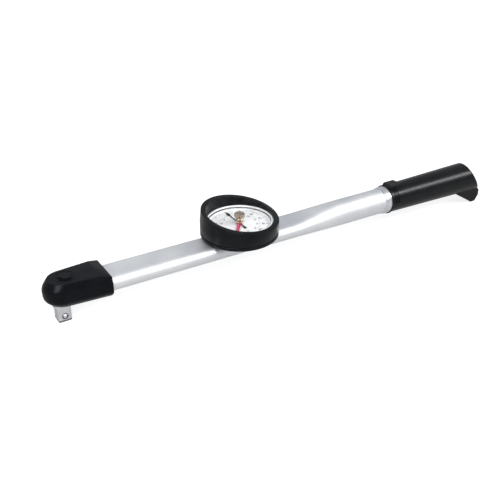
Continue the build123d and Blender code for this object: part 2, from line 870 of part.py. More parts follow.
def grip():
    end = grip_tip + 4
    top = tube_axis + grip_back_radius
    profile = [(grip_start, 0), (grip_start, grip_front_radius), (end, grip_radius(end)), (end, 0)]
    barrel = revolve(make_face(Plane.XZ * Polyline(*profile, close=True)), Axis.X)
    barrel = Pos(0, 0, tube_axis) * barrel
    # The hook under the end, for the edge of the hand
    under = tube_axis - grip_back_radius
    tip_low = -drive_length
    outline = Polyline(
        (hook_root, tube_axis),
        (hook_root, under + 1),
        (grip_tip - hook_beak - 1.5, tip_low + 2),
        (grip_tip - hook_beak + 1, tip_low),
        (grip_tip + 4, tip_low),
        (grip_tip + 4, tube_axis),
        close=True,
    )
    hook = extrude(make_face(Plane.XZ * outline), hook_width / 2, both=True)
    # The end slants back from the top to the hook in a hollow curve
    slant = [
        Line((grip_shoulder, top + 1), (grip_tip + 6, top + 1)),
        Line((grip_tip + 6, top + 1), (grip_tip + 6, tip_low - 1)),
        Line((grip_tip + 6, tip_low - 1), (grip_tip - 5.5, tip_low - 1)),
        Line((grip_tip - 5.5, tip_low - 1), (grip_tip, grip_tip_height)),
        Line((grip_tip, grip_tip_height), (grip_tip, hook_back_height - drive_length)),
        ThreePointArc(
            (grip_tip, hook_back_height - drive_length),
            (grip_shoulder + hook_flare, tube_axis + 1.4),
            (grip_shoulder, top + 1),
        ),
    ]
    behind = extrude(make_face(Plane.XZ * (Curve() + slant)), 40, both=True)
    body = barrel + hook - behind
    body = fillet([edge for edge in body.edges() if edge.center().X > hook_root - 2], grip_edge_round)
    flange_end = grip_start + grip_flange_length
    flange = Cylinder(grip_front_radius + grip_flange_rise, grip_flange_length)
    flange = chamfer(flange.edges().filter_by(GeomType.CIRCLE), 0.4)
    body += Pos((grip_start + flange_end) / 2, 0, tube_axis) * Rot(0, 90, 0) * flange
    lug = block(lug_start, lug_start + lug_length, lug_width / 2, tube_axis, tube_axis + grip_front_radius + lug_rise)
    lug = chamfer(lug.edges().filter_by(Axis.Y).group_by(Axis.Z)[-1], lug_rise * 0.8)
    body += lug
    for rib in range(rib_count):
        x = flange_end + 2.5 + rib * rib_pitch
        groove = ring(grip_front_radius + 2, grip_front_radius - rib_depth, 0, 0.9)
        groove -= Pos(grip_front_radius, 0, 0) * Box(2 * grip_front_radius, 3 * grip_front_radius, 4)
        body -= Pos(x, 0, tube_axis) * Rot(0, 90, 0) * groove
    bore_radius = tube_diameter / 2 + grip_clearance
    bore = Pos(grip_start - 1, 0, tube_axis) * Rot(0, 90, 0) * Cylinder(
        bore_radius, tube_end + 1 - grip_start + 1, align=(Align.CENTER, Align.CENTER, Align.MIN)
    )
    body -= bore
    face = grip_screw_face()
    body -= disc(screw_head_radius, face - 2, face, grip_screw_x)
    body -= Pos(grip_screw_x, 0, face) * countersunk(screw_radius, screw_head_radius, 6, screw_head_height)
    return body


def grip_screw_face():
    return tube_axis - grip_radius(grip_screw_x) + grip_screw_recess


def grip_screw():
    face = grip_screw_face()
    length = tube_axis - tube_diameter / 2 + tube_wall - face
    screw = countersunk(screw_radius, screw_head_radius, length, screw_head_height)
    return Pos(grip_screw_x, 0, face) * (screw - Box(2 * screw_head_radius, 0.7, 1.0))


def grip_collar():
    start = grip_start - collar_length
    inner = tube_diameter / 2 + grip_clearance
    points = [
        (start, inner),
        (start, collar_radius_front - 0.3),
        (start + 0.3, collar_radius_front),
        (start + collar_step, collar_radius_front),
        (start + collar_step, collar_radius_back - 0.2),
        (start + collar_step + 0.2, collar_radius_back),
        (grip_start, collar_radius_back),
        (grip_start, inner),
    ]
    return Pos(0, 0, tube_axis) * revolve(make_face(Plane.XZ * Polyline(*points, close=True)), Axis.X)


pieces = {
    "drive_head": drive_head,
    "detent_ball": detent_ball,
    "detent_spring": detent_spring,
    "pivot_bush": pivot_bush,
    "head_pin": head_pin,
    "pin_clips": pin_clips,
    "head_cover": head_cover,
    "head_cap": head_cap,
    "cover_screws": cover_screws,
    "tube": tube,
    "measuring_spring": measuring_spring,
    "spring_pins": spring_pins,
    "reaction_block": reaction_block,
    "block_screws": block_screws,
    "indicator_lever": indicator_lever,
    "lever_screws": lever_screws,
    "dial_case": dial_case,
    "case_screws": case_screws,
    "movement_plate": movement_plate,
    "movement_pillars": movement_pillars,
    "bridge_plate": bridge_plate,
    "bridge_screws": bridge_screws,
    "intermediate_arbor": intermediate_arbor,
    "intermediate_wheel": intermediate_wheel,
    "centre_arbor": centre_arbor,
    "hairspring_collet": hairspring_collet,
    "hairspring": hairspring,
    "hairspring_stud": hairspring_stud,
    "main_pointer": main_pointer,
    "memory_pointer": memory_pointer,
    "zero_ring": zero_ring,
    "dial_plate": dial_plate,
    "crystal_seal": crystal_seal,
    "crystal": crystal,
    "crystal_ring": crystal_ring,
    "knob_bush": knob_bush,
    "knob_shaft": knob_shaft,
    "reset_knob": reset_knob,
    "protector": protector,
    "grip_collar": grip_collar,
    "grip": grip,
    "grip_screw": grip_screw,
}

os.makedirs("parts", exist_ok=True)
for name, make in pieces.items():
    save(name, make())
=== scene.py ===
import bpy
import bmesh
import json
import math
from mathutils import Matrix, Vector


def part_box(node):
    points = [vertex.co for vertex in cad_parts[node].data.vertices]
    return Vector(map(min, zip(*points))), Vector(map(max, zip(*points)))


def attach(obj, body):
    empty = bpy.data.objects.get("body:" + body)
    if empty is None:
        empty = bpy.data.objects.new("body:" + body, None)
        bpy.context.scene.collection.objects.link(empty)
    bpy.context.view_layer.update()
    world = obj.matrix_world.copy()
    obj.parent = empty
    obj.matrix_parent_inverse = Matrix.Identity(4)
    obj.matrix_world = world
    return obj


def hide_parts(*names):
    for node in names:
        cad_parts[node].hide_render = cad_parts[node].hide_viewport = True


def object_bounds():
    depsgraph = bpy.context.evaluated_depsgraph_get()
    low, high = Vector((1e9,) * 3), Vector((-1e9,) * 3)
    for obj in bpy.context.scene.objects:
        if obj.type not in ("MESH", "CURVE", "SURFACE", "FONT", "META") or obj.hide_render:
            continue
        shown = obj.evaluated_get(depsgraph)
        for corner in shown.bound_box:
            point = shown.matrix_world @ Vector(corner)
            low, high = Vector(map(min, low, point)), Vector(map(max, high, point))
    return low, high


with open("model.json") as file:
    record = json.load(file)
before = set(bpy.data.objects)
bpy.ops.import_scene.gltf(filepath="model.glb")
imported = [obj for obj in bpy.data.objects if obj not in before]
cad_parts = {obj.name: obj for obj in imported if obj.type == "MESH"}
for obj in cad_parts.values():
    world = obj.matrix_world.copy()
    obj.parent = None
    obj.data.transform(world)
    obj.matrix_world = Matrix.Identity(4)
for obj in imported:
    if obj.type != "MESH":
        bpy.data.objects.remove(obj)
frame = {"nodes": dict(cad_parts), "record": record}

mm = 0.001
cadLow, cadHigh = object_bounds()
nodes = frame["nodes"]

dialCentre = (190 * mm, 0)
dialAxis = (*dialCentre, 0)
tubeCentre = (0, 0, 14.6 * mm)
near = 0.05 * mm             # closer than this counts as the same place
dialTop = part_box("dial_plate")[1].z
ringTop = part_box("crystal_ring")[1].z


# Every finish is made of two noises: its grain is a bump, its cloud a slow change of colour.
noises = {
    "reach": (0.3, 0.7),     # a noise stays near its middle, mostly between these
    "roughness": 0.55,
    "cloudDetail": 4.0,
    "grainDetail": 2.0,
    "grainInGloss": 0.2,     # the grain changes the gloss by this part of its range
}

# Lengths in a finish are millimetres.
finishes = {
    "forged_steel": {
        "pale": (0.86, 0.86, 0.86), "deep": (0.74, 0.74, 0.76), "metallic": 1,
        "gloss": (0.16, 0.30), "cloud": 9, "grain": (0.8, 0.8, 0.8), "height": 0.02,
        # painted shade: the drive's tip end is painted darker towards the bottom
        "tipShadeBand": (-12.5, -13.1), "tipShadeColour": (0.20, 0.20, 0.21),
    },
    "bearing_steel": {
        "pale": (0.84, 0.84, 0.85), "deep": (0.74, 0.75, 0.77), "metallic": 1,
        "gloss": (0.06, 0.12), "cloud": 3, "grain": (0.3, 0.3, 0.3), "height": 0.003,
    },
    "spring_steel": {
        "pale": (0.42, 0.44, 0.50), "deep": (0.28, 0.30, 0.38), "metallic": 1,
        "gloss": (0.24, 0.38), "cloud": 12, "grain": (9, 0.35, 0.35), "height": 0.01,
    },
    "bronze": {
        "pale": (0.64, 0.43, 0.23), "deep": (0.48, 0.30, 0.15), "metallic": 1,
        "gloss": (0.3, 0.45), "cloud": 3, "grain": (0.25, 0.25, 0.25), "height": 0.012,
    },
    "black_moulding": {
        "pale": (0.004, 0.0047, 0.0065), "deep": (0.002, 0.0024, 0.0034), "metallic": 0,
        "gloss": (0.24, 0.32), "cloud": 16, "grain": (0.45, 0.45, 0.45), "height": 0.012,
        "specular": 0.11,
    },
    "grip_moulding": {
        "pale": (0.0035, 0.004, 0.0047), "deep": (0.0015, 0.0018, 0.0022), "metallic": 0,
        "gloss": (0.25, 0.31), "cloud": 12, "grain": (0.6, 0.6, 0.6), "height": 0.003,
        "specular": 0.25,
    },
    "zinc_screw": {
        "pale": (0.68, 0.68, 0.66), "deep": (0.52, 0.53, 0.54), "metallic": 1,
        "gloss": (0.26, 0.40), "cloud": 2, "grain": (0.3, 0.3, 0.3), "height": 0.01,
    },
    "satin_aluminium": {
        "pale": (0.84, 0.845, 0.845), "deep": (0.77, 0.78, 0.81), "metallic": 1,
        "gloss": (0.50, 0.58), "cloud": 34, "grain": (26, 0.5, 0.5), "height": 0.012,
    },
    "plain_steel": {
        "pale": (0.60, 0.61, 0.63), "deep": (0.46, 0.47, 0.50), "metallic": 1,
        "gloss": (0.28, 0.42), "cloud": 6, "grain": (3, 0.3, 0.3), "height": 0.012,
    },
    "cast_aluminium": {
        "pale": (0.64, 0.64, 0.66), "deep": (0.54, 0.55, 0.57), "metallic": 1,
        "gloss": (0.34, 0.48), "cloud": 8, "turned": ("Z", dialAxis, 0.35), "height": 0.012,
    },
    "movement_brass": {
        "pale": (0.80, 0.64, 0.32), "deep": (0.66, 0.50, 0.22), "metallic": 1,
        "gloss": (0.22, 0.34), "cloud": 7, "turned": ("Z", dialAxis, 0.25), "height": 0.008,
    },
    "black_paint": {
        "pale": (0.022, 0.022, 0.024), "deep": (0.012, 0.012, 0.013), "metallic": 0,
        "gloss": (0.42, 0.55), "cloud": 4, "grain": (0.25, 0.25, 0.25), "height": 0.008,
        "specular": 0.35,
    },
    "red_paint": {
        "pale": (0.62, 0.05, 0.17), "deep": (0.48, 0.03, 0.12), "metallic": 0,
        "gloss": (0.34, 0.44), "cloud": 5, "grain": (0.25, 0.25, 0.25), "height": 0.006,
    },
    "dial_white": {
        "pale": (0.93, 0.935, 0.935), "deep": (0.88, 0.885, 0.89), "metallic": 0,
        "gloss": (0.34, 0.44), "cloud": 7, "grain": (0.5, 0.5, 0.5), "height": 0.008,
    },
    "crystal_glass": {
        "pale": (1, 1, 1), "deep": (0.96, 0.98, 0.98), "metallic": 1, "gloss": (0.01, 0.05),
        "cloud": 14, "grain": (4, 4, 4), "height": 0.001, "alpha": 0.04, "rimFrom": 31.95,
    },
    "ring_trim": {
        "pale": (0.90, 0.905, 0.91), "deep": (0.84, 0.845, 0.85), "metallic": 0.25,
        "gloss": (0.42, 0.52), "cloud": 9, "turned": ("Z", dialAxis, 0.3), "height": 0.01,
    },
    "bronzed_knob": {
        "pale": (0.60, 0.49, 0.40), "deep": (0.42, 0.33, 0.26), "metallic": 1,
        "gloss": (0.22, 0.34), "cloud": 3, "turned": ("Z", dialAxis, 0.25), "height": 0.01,
    },
    "black_rubber": {
        "pale": (0.004, 0.005, 0.006), "deep": (0.002, 0.0026, 0.0032), "metallic": 0,
        "gloss": (0.28, 0.38), "cloud": 14, "grain": (0.6, 0.6, 0.6), "height": 0.015,
        "specular": 0.18,
    },
    "collar_turned": {
        "pale": (0.84, 0.85, 0.87), "deep": (0.76, 0.77, 0.80), "metallic": 1,
        "gloss": (0.24, 0.34), "cloud": 9, "turned": ("X", tubeCentre, 0.4), "height": 0.012,
    },
    # painted shade: the dark ring round the detent ball stands in for the shadow at its hole's
    # edge
    "painted_shade_steel": {
        "pale": (0.22, 0.22, 0.23), "deep": (0.12, 0.12, 0.13), "metallic": 1,
        "gloss": (0.3, 0.42), "cloud": 1.5, "grain": (0.2, 0.2, 0.2), "height": 0.01,
    },
    "pale_seal": {
        "pale": (0.88, 0.885, 0.89), "deep": (0.80, 0.805, 0.81), "metallic": 0,
        "gloss": (0.5, 0.6), "cloud": 5, "grain": (0.3, 0.3, 0.3), "height": 0.01,
    },
    "scale_ink": {
        "pale": (0.09, 0.09, 0.10), "deep": (0.05, 0.05, 0.055), "metallic": 0,
        "gloss": (0.45, 0.6), "cloud": 2, "grain": (0.2, 0.2, 0.2), "height": 0.004,
        "specular": 0.3,
    },
}


def add(tree, kind, settings=None, **inputs):
    node = tree.nodes.new(kind)
    for key, value in (settings or {}).items():
        setattr(node, key, value)
    for key, value in inputs.items():
        node.inputs[key].default_value = value
    return node


def noise(tree, vector, detail):
    cloud = add(tree, "ShaderNodeTexNoise", Scale=1.0, Detail=detail,
                Roughness=noises["roughness"])
    tree.links.new(vector, cloud.inputs["Vector"])
    return cloud.outputs["Fac"]


def remap(tree, value, source, target):
    node = add(tree, "ShaderNodeMapRange")
    for socket, end in zip(("From Min", "From Max", "To Min", "To Max"), (*source, *target)):
        node.inputs[socket].default_value = end
    tree.links.new(value, node.inputs["Value"])
    return node.outputs["Result"]


def blend(tree, share, first, second):
    mix = add(tree, "ShaderNodeMix", {"data_type": "RGBA"})
    tree.links.new(share, mix.inputs[0])
    for socket, colour in ((mix.inputs[6], first), (mix.inputs[7], second)):
        if isinstance(colour, tuple):
            socket.default_value = (*colour, 1)
        else:
            tree.links.new(colour, socket)
    return mix.outputs[2]


def stretched(tree, place, sizes):
    mapping = add(tree, "ShaderNodeMapping")
    mapping.inputs["Scale"].default_value = tuple(1 / (size * mm) for size in sizes)
    tree.links.new(place, mapping.inputs["Vector"])
    return mapping.outputs["Vector"]


def fromAxis(tree, place, centre, axis):
    # the place as seen from the centre, and its distance from the axis through it
    mapping = add(tree, "ShaderNodeMapping")
    mapping.inputs["Location"].default_value = tuple(-value for value in centre)
    tree.links.new(place, mapping.inputs["Vector"])
    flat = add(tree, "ShaderNodeVectorMath", {"operation": "MULTIPLY"})
    flat.inputs[1].default_value = (1, 1, 0) if axis == "Z" else (0, 1, 1)
    tree.links.new(mapping.outputs["Vector"], flat.inputs[0])
    distance = add(tree, "ShaderNodeVectorMath", {"operation": "LENGTH"})
    tree.links.new(flat.outputs["Vector"], distance.inputs[0])
    return mapping.outputs["Vector"], distance.outputs["Value"]


def latheLines(tree, place, turned):
    # fine rings about the axis that the piece was turned on
    axis, centre, pitch = turned
    moved, distance = fromAxis(tree, place, centre, axis)
    along = add(tree, "ShaderNodeSeparateXYZ")
    tree.links.new(moved, along.inputs["Vector"])
    both = add(tree, "ShaderNodeMath", {"operation": "ADD"})
    tree.links.new(distance, both.inputs[0])
    tree.links.new(along.outputs[axis], both.inputs[1])
    lines = add(tree, "ShaderNodeTexNoise", {"noise_dimensions": "1D"},
                Scale=1 / (pitch * mm), Detail=noises["grainDetail"])
    tree.links.new(both.outputs["Value"], lines.inputs["W"])
    return lines.outputs["Fac"]


def paintedEdge(tree, place, radius):
    # 0 inside the radius about the dial's axis, 1 outside it
    beyond = add(tree, "ShaderNodeMath", {"operation": "GREATER_THAN"})
    tree.links.new(fromAxis(tree, place, dialAxis, "Z")[1], beyond.inputs[0])
    beyond.inputs[1].default_value = radius * mm
    return beyond.outputs["Value"]


def makeFinish(name, look):
    material = bpy.data.materials.new(name)
    material.use_nodes = True
    tree = material.node_tree
    shader = tree.nodes["Principled BSDF"]
    shader.inputs["Metallic"].default_value = look["metallic"]
    shader.inputs["Specular IOR Level"].default_value = look.get("specular", 0.5)
    shader.inputs["Alpha"].default_value = look.get("alpha", 1)
    place = add(tree, "ShaderNodeTexCoord").outputs["Object"]

    reach = noises["reach"]
    cloud = noise(tree, stretched(tree, place, [look["cloud"]] * 3), noises["cloudDetail"])
    if "turned" in look:
        grain = latheLines(tree, place, look["turned"])
    else:
        grain = noise(tree, stretched(tree, place, look["grain"]), noises["grainDetail"])

    colour = blend(tree, remap(tree, cloud, reach, (0, 1)), look["deep"], look["pale"])
    if "tipShadeBand" in look:
        # painted shade: the tip end of the drive is painted darker, standing in for the shade
        # under it
        height = add(tree, "ShaderNodeSeparateXYZ")
        tree.links.new(place, height.inputs["Vector"])
        shadeSpan = tuple(value * mm for value in look["tipShadeBand"])
        tipShade = remap(tree, height.outputs["Z"], shadeSpan, (0, 1))
        colour = blend(tree, tipShade, colour, look["tipShadeColour"])
    tree.links.new(colour, shader.inputs["Base Color"])
    if "rimFrom" in look:
        # the glass is clear as far as its ring, and its edge is painted white
        edge = paintedEdge(tree, place, look["rimFrom"])
        changes = {"Alpha": (look["alpha"], 1), "Metallic": (look["metallic"], 0)}
        for socket, ends in changes.items():
            tree.links.new(remap(tree, edge, (0, 1), ends), shader.inputs[socket])

    # the cloud sets the gloss, and the grain changes it a little
    shine = add(tree, "ShaderNodeMath", {"operation": "MULTIPLY_ADD"})
    tree.links.new(remap(tree, grain, reach, (-1, 1)), shine.inputs[0])
    least, most = look["gloss"]
    shine.inputs[1].default_value = noises["grainInGloss"] * (most - least)
    tree.links.new(remap(tree, cloud, reach, look["gloss"]), shine.inputs[2])
    tree.links.new(shine.outputs["Value"], shader.inputs["Roughness"])

    bump = add(tree, "ShaderNodeBump", Strength=1.0, Distance=look["height"] * mm)
    tree.links.new(grain, bump.inputs["Height"])
    tree.links.new(bump.outputs["Normal"], shader.inputs["Normal"])
    return material


def dressNodes():
    # these three have a finish of their own instead of their slot's
    special = {
        "grip_collar": "collar_turned",
        "grip": "grip_moulding",
        "crystal_seal": "pale_seal",
    }
    for part in frame["record"]["subparts"]:
        name = part["node"]
        finish = materials[special.get(name, part["material_slot"])]
        for slot in nodes[name].material_slots:
            slot.material = finish
    print("CAD nodes dressed")


view = {
    "azimuth": -31.0,
    "elevation": 29.1,
    "distance": 0.8486,
    "target": (0.2023, 0.0, -0.0002),
    "lens": 59.14,
    "sensor": 36,
}


def camera():
    turn = math.radians(view["azimuth"])
    rise = math.radians(view["elevation"])
    level = math.cos(rise)
    back = Vector((math.sin(turn) * level, -math.cos(turn) * level, math.sin(rise)))
    bpy.ops.object.camera_add(location=Vector(view["target"]) + back * view["distance"])
    cam = bpy.context.object
    cam.name = "photoCamera"
    cam.rotation_euler = back.to_track_quat("Z", "Y").to_euler()
    cam.data.lens = view["lens"]
    cam.data.sensor_width = view["sensor"]
    bpy.context.scene.camera = cam
    print("camera placed")


room = {"reflected": (0.45, 0.465, 0.49), "seen": (1.0, 1.0, 1.0)}
lamps = {
    "stripBox": {"place": (0.85, -0.71, 0.83), "size": (1.2, 0.28), "power": 12.5,
                 "aim": (0.30, 0, 0.01)},
    "noseBox": {"place": (-0.34, -0.37, 0.32), "size": (0.3, 0.3), "power": 1.9,
                "aim": (0.0, 0, 0.02)},
    "topBox": {"place": (-0.10, -0.48, 1.05), "size": (0.5, 0.4), "power": 3.0,
               "aim": (0.19, 0, 0.03)},
    "backBox": {"place": (0.10, 0.75, 1.0), "size": (0.9, 0.7), "power": 1.0,
                "aim": (0.20, 0, 0.01)},
}


def studio():
    for name, lamp in lamps.items():
        bpy.ops.object.light_add(type="AREA", location=lamp["place"])
        light = bpy.context.object
        light.name = name
        light.data.shape = "RECTANGLE"
        light.data.size, light.data.size_y = lamp["size"]
        light.data.energy = lamp["power"]
        back = (Vector(lamp["place"]) - Vector(lamp["aim"])).normalized()
        side = Vector((1, 0, 0)) - back * back.x
        side.normalize()
        light.rotation_euler = Matrix((side, back.cross(side), back)).transposed().to_euler()
    world = bpy.data.worlds.new("paleRoom")
    bpy.context.scene.world = world
    world.use_nodes = True
    tree = world.node_tree
    backdrop = tree.nodes["Background"]
    straight = add(tree, "ShaderNodeLightPath").outputs["Is Camera Ray"]
    shade = blend(tree, straight, room["reflected"], room["seen"])
    tree.links.new(shade, backdrop.inputs["Color"])
    backdrop.inputs["Strength"].default_value = 1.0
    print("lights placed")


ground = {
    "size": 8,
    "x": 0.2,
    "gap": 0.2 * mm,
    "own": 0.38,             # its colour
    "fill": 0.80,            # its glow, so that it looks white and keeps a faint shadow
    "mirrored": 0.16,        # its glow in what reflects it
    "roughness": 0.9,
    "specular": 0.1,
}


def floor():
    look = ground
    place = (look["x"], 0, cadLow.z - look["gap"])
    bpy.ops.mesh.primitive_plane_add(size=look["size"], location=place)
    plane = bpy.context.object
    plane.name = "floor"
    mat = bpy.data.materials.new("paleFloor")
    mat.use_nodes = True
    tree = mat.node_tree
    shader = tree.nodes["Principled BSDF"]
    shader.inputs["Base Color"].default_value = (look["own"], look["own"], look["own"], 1)
    shader.inputs["Roughness"].default_value = look["roughness"]
    shader.inputs["Specular IOR Level"].default_value = look["specular"]
    path = add(tree, "ShaderNodeLightPath")
    seen = add(tree, "ShaderNodeMath", {"operation": "MAXIMUM"})
    tree.links.new(path.outputs["Is Camera Ray"], seen.inputs[0])
    tree.links.new(path.outputs["Is Transmission Ray"], seen.inputs[1])
    mirrored = add(tree, "ShaderNodeMath", {"operation": "MULTIPLY"})
    tree.links.new(path.outputs["Is Glossy Ray"], mirrored.inputs[0])
    mirrored.inputs[1].default_value = look["mirrored"]
    glow = add(tree, "ShaderNodeMath", {"operation": "MULTIPLY_ADD"})
    tree.links.new(seen.outputs["Value"], glow.inputs[0])
    glow.inputs[1].default_value = look["fill"]
    tree.links.new(mirrored.outputs["Value"], glow.inputs[2])
    shader.inputs["Emission Color"].default_value = (1, 1, 1, 1)
    tree.links.new(glow.outputs["Value"], shader.inputs["Emission Strength"])
    plane.data.materials.append(mat)
    print("floor placed")


def pick(kind, test):
    # in edit mode, selects what the test says, by its place or normal
    mesh = bmesh.from_edit_mesh(bpy.context.object.data)
    bpy.ops.mesh.select_mode(type=kind)
    bpy.ops.mesh.select_all(action="DESELECT")
    for item in {"VERT": mesh.verts, "EDGE": mesh.edges}[kind]:
        if test(item):
            item.select_set(True)
    mesh.select_flush(True)
    bmesh.update_edit_mesh(bpy.context.object.data)


def middle(edge):
    return (edge.verts[0].co + edge.verts[1].co) / 2


def drawRings(rings, centre, vertices):
    # a circle drawn up through rings of (radius, height) in millimetres
    radius, height = rings[0]
    spot = (centre[0], centre[1], height * mm)
    bpy.ops.mesh.primitive_circle_add(vertices=vertices, radius=radius * mm, location=spot)
    bpy.ops.object.transform_apply(location=True)
    bpy.ops.object.mode_set(mode="EDIT")
    bpy.ops.mesh.select_all(action="SELECT")
    for newRadius, newHeight in rings[1:]:
        lift = (0, 0, (newHeight - height) * mm)
        bpy.ops.mesh.extrude_region_move(TRANSFORM_OT_translate={"value": lift})
        scale = newRadius / radius
        pivot = (centre[0], centre[1], newHeight * mm)
        bpy.ops.transform.resize(value=(scale, scale, 1), center_override=pivot)
        radius, height = newRadius, newHeight


def joinEnds():
    # two open loops of edges are joined by a band of faces
    pick("EDGE", lambda edge: len(edge.link_faces) == 1)
    bpy.ops.mesh.bridge_edge_loops()


def closeLoop():
    # the last ring of a turned shape is joined to its first
    joinEnds()
    bpy.ops.mesh.select_all(action="SELECT")
    bpy.ops.mesh.normals_make_consistent(inside=False)


def roundOff(test, size, segments):
    pick("EDGE", test)
    bpy.ops.mesh.bevel(offset=size * mm, segments=segments, profile=0.5, affect="EDGES",
                       clamp_overlap=True)


def joinAll(parts):
    bpy.ops.object.select_all(action="DESELECT")
    for part in parts:
        part.select_set(True)
    bpy.context.view_layer.objects.active = parts[0]
    bpy.ops.object.join()
    bpy.ops.object.transform_apply(location=True, rotation=True, scale=True)
    return bpy.context.object


def finishPiece(name, body, slot, smooth, finish=None):
    # faces that meet at less than smooth degrees are shaded as one
    if bpy.context.object.mode == "EDIT":
        bpy.ops.object.mode_set(mode="OBJECT")
    piece = bpy.context.object
    piece.name = name
    bpy.ops.object.transform_apply(location=True, rotation=True, scale=True)
    bpy.ops.object.shade_smooth_by_angle(angle=math.radians(smooth))
    piece.data.materials.clear()
    piece.data.materials.append(materials[finish or slot])
    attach(piece, body)
    bpy.ops.object.select_all(action="DESELECT")
    print(name, "made,", len(piece.data.polygons), "faces")
    return piece


hood = {
    "vertices": 128,
    "outer": 39.9,
    "sleeve": 36.55,         # where it grips the zero ring
    "inner": 34.4,
    "draft": 0.01,           # how much narrower the inside is at its top
    "bottom": 22.6,
    "foot": [(1.9, 0), (0.9, 0.35), (0.25, 1.0), (0, 1.9)],      # inset from the side, rise
    "groove": (26.8, 27.5, 0.7),                                 # from, to, deep
    "grooveEdge": (0.2, 0.25, 0.05),                             # inset, rise, slope of its floor
    "lean": 0.0892,          # how far the wall comes in for each millimetre of height
    "cutHeight": 44.98,
    "tilt": 9.5,
    "tiltTowards": 133,
    "spare": 4,              # drawn this far above the slant before it is cut
    "merge": 0.001,
    "rimChamfer": 1.3,
    "roundWithin": 0.6,      # an edge round the rim keeps its radius as well as this
    "smooth": 40,
}


def makeHood():
    look = hood
    outer, sleeve, inner, bottom = look["outer"], look["sleeve"], look["inner"], look["bottom"]
    low, high, deep = look["groove"]
    inset, rise, fall = look["grooveEdge"]
    ledge = ringTop / mm
    slope = math.radians(look["tilt"])
    top = look["cutHeight"] + outer * math.tan(slope) + look["spare"]
    rings = [(sleeve, bottom)]
    rings += [(outer - inwards, bottom + upwards) for inwards, upwards in look["foot"]]
    rings += [
        (outer, low - rise), (outer - inset, low), (outer - deep, low + fall),
        (outer - deep, high - fall), (outer - inset, high), (outer, high + rise), (outer, ledge),
        (outer - look["lean"] * (top - ledge), top), (inner - look["draft"], top),
        (inner, ledge), (sleeve, ledge),
    ]
    drawRings(rings, dialCentre, look["vertices"])
    bpy.ops.mesh.select_all(action="SELECT")
    bpy.ops.mesh.remove_doubles(threshold=look["merge"] * mm)
    # close the sleeve between the first ring and the last
    joinEnds()
    # the slant: all above a tilted plane goes
    towards = math.radians(look["tiltTowards"])
    level = -math.sin(slope)
    normal = Vector((level * math.cos(towards), level * math.sin(towards), math.cos(slope)))
    middleOfCut = Vector((*dialCentre, look["cutHeight"] * mm))
    bpy.ops.mesh.select_all(action="SELECT")
    bpy.ops.mesh.bisect(plane_co=middleOfCut, plane_no=normal, clear_outer=True)
    joinEnds()

    def onRim(edge):
        # an edge in the cut that runs round the hood and not across its wall
        if abs((middle(edge) - middleOfCut).dot(normal)) > near:
            return False
        first, second = ((vertex.co.xy - Vector(dialCentre)).length for vertex in edge.verts)
        return abs(first - second) < look["roundWithin"] * mm

    roundOff(onRim, look["rimChamfer"], 1)
    bpy.ops.mesh.select_all(action="SELECT")
    bpy.ops.mesh.normals_make_consistent(inside=False)
    piece = finishPiece("hood", "zero_ring", "black_rubber", look["smooth"])
    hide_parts("protector")


dialScale = {
    "rim": 30.4,             # millimetres from the middle of the dial
    "thick": 0.05,
    "ticks": [(4.0, 0.45, 12), (3.0, 0.32, 24), (1.8, 0.16, 120)],   # length, width, how many
    "outerRow": {"radius": 23.8, "size": 3.9},
    "innerRow": {"radius": 18.0, "size": 2.7},
    "track": {"beyond": 2.9, "width": 0.2, "vertices": 96},          # outside the inner row
    "unit": 20,              # from one number to the next
    "step": 30,              # degrees for each unit
    "last": 10,              # how many units there are each way
    "sink": 0.01,            # how far the print goes into the dial
    "bolder": 0.04,
    "curves": 3,
    "merge": 0.0005,
    "smooth": 30,
}


def tickRow(length, width, count):
    look = dialScale
    middleY = dialCentre[1] + (look["rim"] - length / 2) * mm
    spot = (dialCentre[0], middleY, dialTop + (look["thick"] / 2 - look["sink"]) * mm)
    bpy.ops.mesh.primitive_cube_add(size=1, location=spot)
    bpy.ops.object.mode_set(mode="EDIT")
    bpy.ops.mesh.select_all(action="SELECT")
    bpy.ops.transform.resize(value=(width * mm, length * mm, look["thick"] * mm))
    part = 2 * math.pi / count
    hub = (dialCentre[0], dialCentre[1], dialTop)
    whole = part * (count - 1)
    bpy.ops.mesh.spin(steps=count - 1, angle=whole, center=hub, axis=(0, 0, 1), dupli=True)
    bpy.ops.object.mode_set(mode="OBJECT")
    return bpy.context.object


def trackRing():
    # a printed line all the way round
    look = dialScale
    radius = look["innerRow"]["radius"] + look["track"]["beyond"]
    inner = radius - look["track"]["width"]
    low = dialTop / mm - look["sink"]
    high = low + look["thick"]
    rings = [(radius, low), (radius, high), (inner, high), (inner, low)]
    drawRings(rings, dialCentre, look["track"]["vertices"])
    closeLoop()
    bpy.ops.object.mode_set(mode="OBJECT")
    return bpy.context.object


def number(value, row, turn):
    look = dialScale
    bpy.ops.object.text_add(location=(0, 0, 0))
    text = bpy.context.object
    text.data.body = str(value)
    text.data.size = row["size"] * mm
    text.data.align_x = "CENTER"
    text.data.align_y = "CENTER"
    text.data.resolution_u = look["curves"]
    text.data.offset = look["bolder"] * mm
    text.data.extrude = look["thick"] / 2 * mm
    bpy.ops.object.convert(target="MESH")
    text = bpy.context.object
    angle = math.radians(turn)
    radius = row["radius"] * mm
    x = dialCentre[0] + radius * math.sin(angle)
    y = dialCentre[1] + radius * math.cos(angle)
    text.location = (x, y, dialTop + (look["thick"] / 2 - look["sink"]) * mm)
    text.rotation_euler = (0, 0, -angle)
    bpy.ops.object.transform_apply(location=True, rotation=True, scale=True)
    return text


